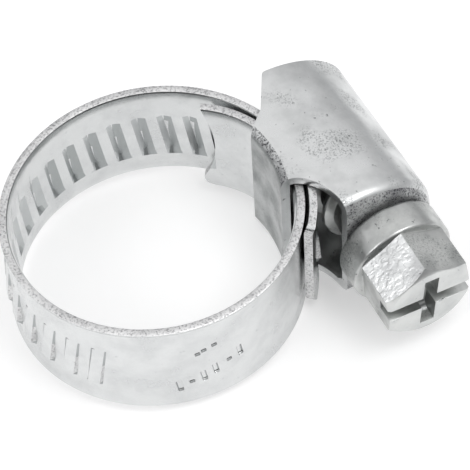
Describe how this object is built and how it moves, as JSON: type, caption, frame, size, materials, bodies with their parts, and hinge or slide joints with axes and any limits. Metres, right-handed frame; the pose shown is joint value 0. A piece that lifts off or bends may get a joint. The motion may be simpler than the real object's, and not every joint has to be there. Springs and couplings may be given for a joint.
{
  "type": "hose clamp",
  "caption": "Worm-drive hose clamp: ribbed steel band closed by a slotted hexagon-head screw turning in a folded sheet housing.",
  "frame": {"origin": "middle of the underside of the whole clamp's box, the clamp lying on its side and open to its largest diameter", "axes": "+Z along the hose's axis, +X from the hose to the housing and screw, the screw's head towards -Y"},
  "size_m": [0.0296, 0.0242, 0.0108],
  "materials": {
    "housing_zinc": "bright zinc plate over rolled sheet, scuffed along the folds",
    "screw_zinc": "bright zinc plate over cold-formed steel, rough on the hexagon",
    "band_zinc": "bright zinc plate over spring strip, pressed ribs, sheared edges"
  },
  "bodies": {
    "housing_body": {"housing": "housing_zinc", "band_fixed_end": "band_zinc"},
    "screw": {"worm_screw": "screw_zinc"},
    "link_1": {"band_link_1": "band_zinc"},
    "link_2": {"band_link_2": "band_zinc"},
    "link_3": {"band_link_3": "band_zinc"},
    "link_4": {"band_link_4": "band_zinc"},
    "link_5": {"band_link_5": "band_zinc"},
    "link_6": {"band_link_6": "band_zinc"},
    "link_7": {"band_link_7": "band_zinc"},
    "link_8": {"band_link_8": "band_zinc"},
    "link_9": {"band_link_9": "band_zinc"},
    "tail": {"band_tail": "band_zinc"}
  },
  "joints": [
    {"name": "screw_turn", "type": "hinge", "parent": "housing_body", "child": "screw", "pos_m": [0.01072, -0.00576, 0.0054], "axis": [0, 1, 0], "range_deg": [0, 1080]},
    {"name": "band_flex_1", "type": "hinge", "parent": "housing_body", "child": "link_1", "pos_m": [0.00322, -0.00593, 0.0054], "axis": [0, 0, -1], "range_deg": [0, 4.9]},
    {"name": "band_flex_2", "type": "hinge", "parent": "link_1", "child": "link_2", "pos_m": [-0.00187, -0.00847, 0.0054], "axis": [0, 0, -1], "range_deg": [0, 4.25]},
    {"name": "band_flex_3", "type": "hinge", "parent": "link_2", "child": "link_3", "pos_m": [-0.00754, -0.00797, 0.0054], "axis": [0, 0, -1], "range_deg": [0, 3.5]},
    {"name": "band_flex_4", "type": "hinge", "parent": "link_3", "child": "link_4", "pos_m": [-0.0121, -0.00459, 0.0054], "axis": [0, 0, -1], "range_deg": [0, 2.8]},
    {"name": "band_flex_5", "type": "hinge", "parent": "link_4", "child": "link_5", "pos_m": [-0.01406, 0.00074, 0.0054], "axis": [0, 0, -1], "range_deg": [0, 2.45]},
    {"name": "band_flex_6", "type": "hinge", "parent": "link_5", "child": "link_6", "pos_m": [-0.0127, 0.00625, 0.0054], "axis": [0, 0, -1], "range_deg": [0, 2.45]},
    {"name": "band_flex_7", "type": "hinge", "parent": "link_6", "child": "link_7", "pos_m": [-0.00855, 0.01014, 0.0054], "axis": [0, 0, -1], "range_deg": [0, 2.8]},
    {"name": "band_flex_8", "type": "hinge", "parent": "link_7", "child": "link_8", "pos_m": [-0.00298, 0.01134, 0.0054], "axis": [0, 0, -1], "range_deg": [0, 3.45]},
    {"name": "band_flex_9", "type": "hinge", "parent": "link_8", "child": "link_9", "pos_m": [0.00244, 0.0096, 0.0054], "axis": [0, 0, -1], "range_deg": [0, 4.2]},
    {"name": "tail_flex", "type": "hinge", "parent": "link_9", "child": "tail", "pos_m": [0.00619, 0.00533, 0.0054], "axis": [0, 0, -1], "range_deg": [0, 3.55]}
  ],
  "couplings": [
    {"joint": "band_flex_1", "follows": "screw_turn", "ratio": 0.004467},
    {"joint": "band_flex_2", "follows": "screw_turn", "ratio": 0.00386},
    {"joint": "band_flex_3", "follows": "screw_turn", "ratio": 0.003162},
    {"joint": "band_flex_4", "follows": "screw_turn", "ratio": 0.002546},
    {"joint": "band_flex_5", "follows": "screw_turn", "ratio": 0.002181},
    {"joint": "band_flex_6", "follows": "screw_turn", "ratio": 0.00218},
    {"joint": "band_flex_7", "follows": "screw_turn", "ratio": 0.002534},
    {"joint": "band_flex_8", "follows": "screw_turn", "ratio": 0.003131},
    {"joint": "band_flex_9", "follows": "screw_turn", "ratio": 0.003826},
    {"joint": "tail_flex", "follows": "screw_turn", "ratio": 0.003218}
  ]
}
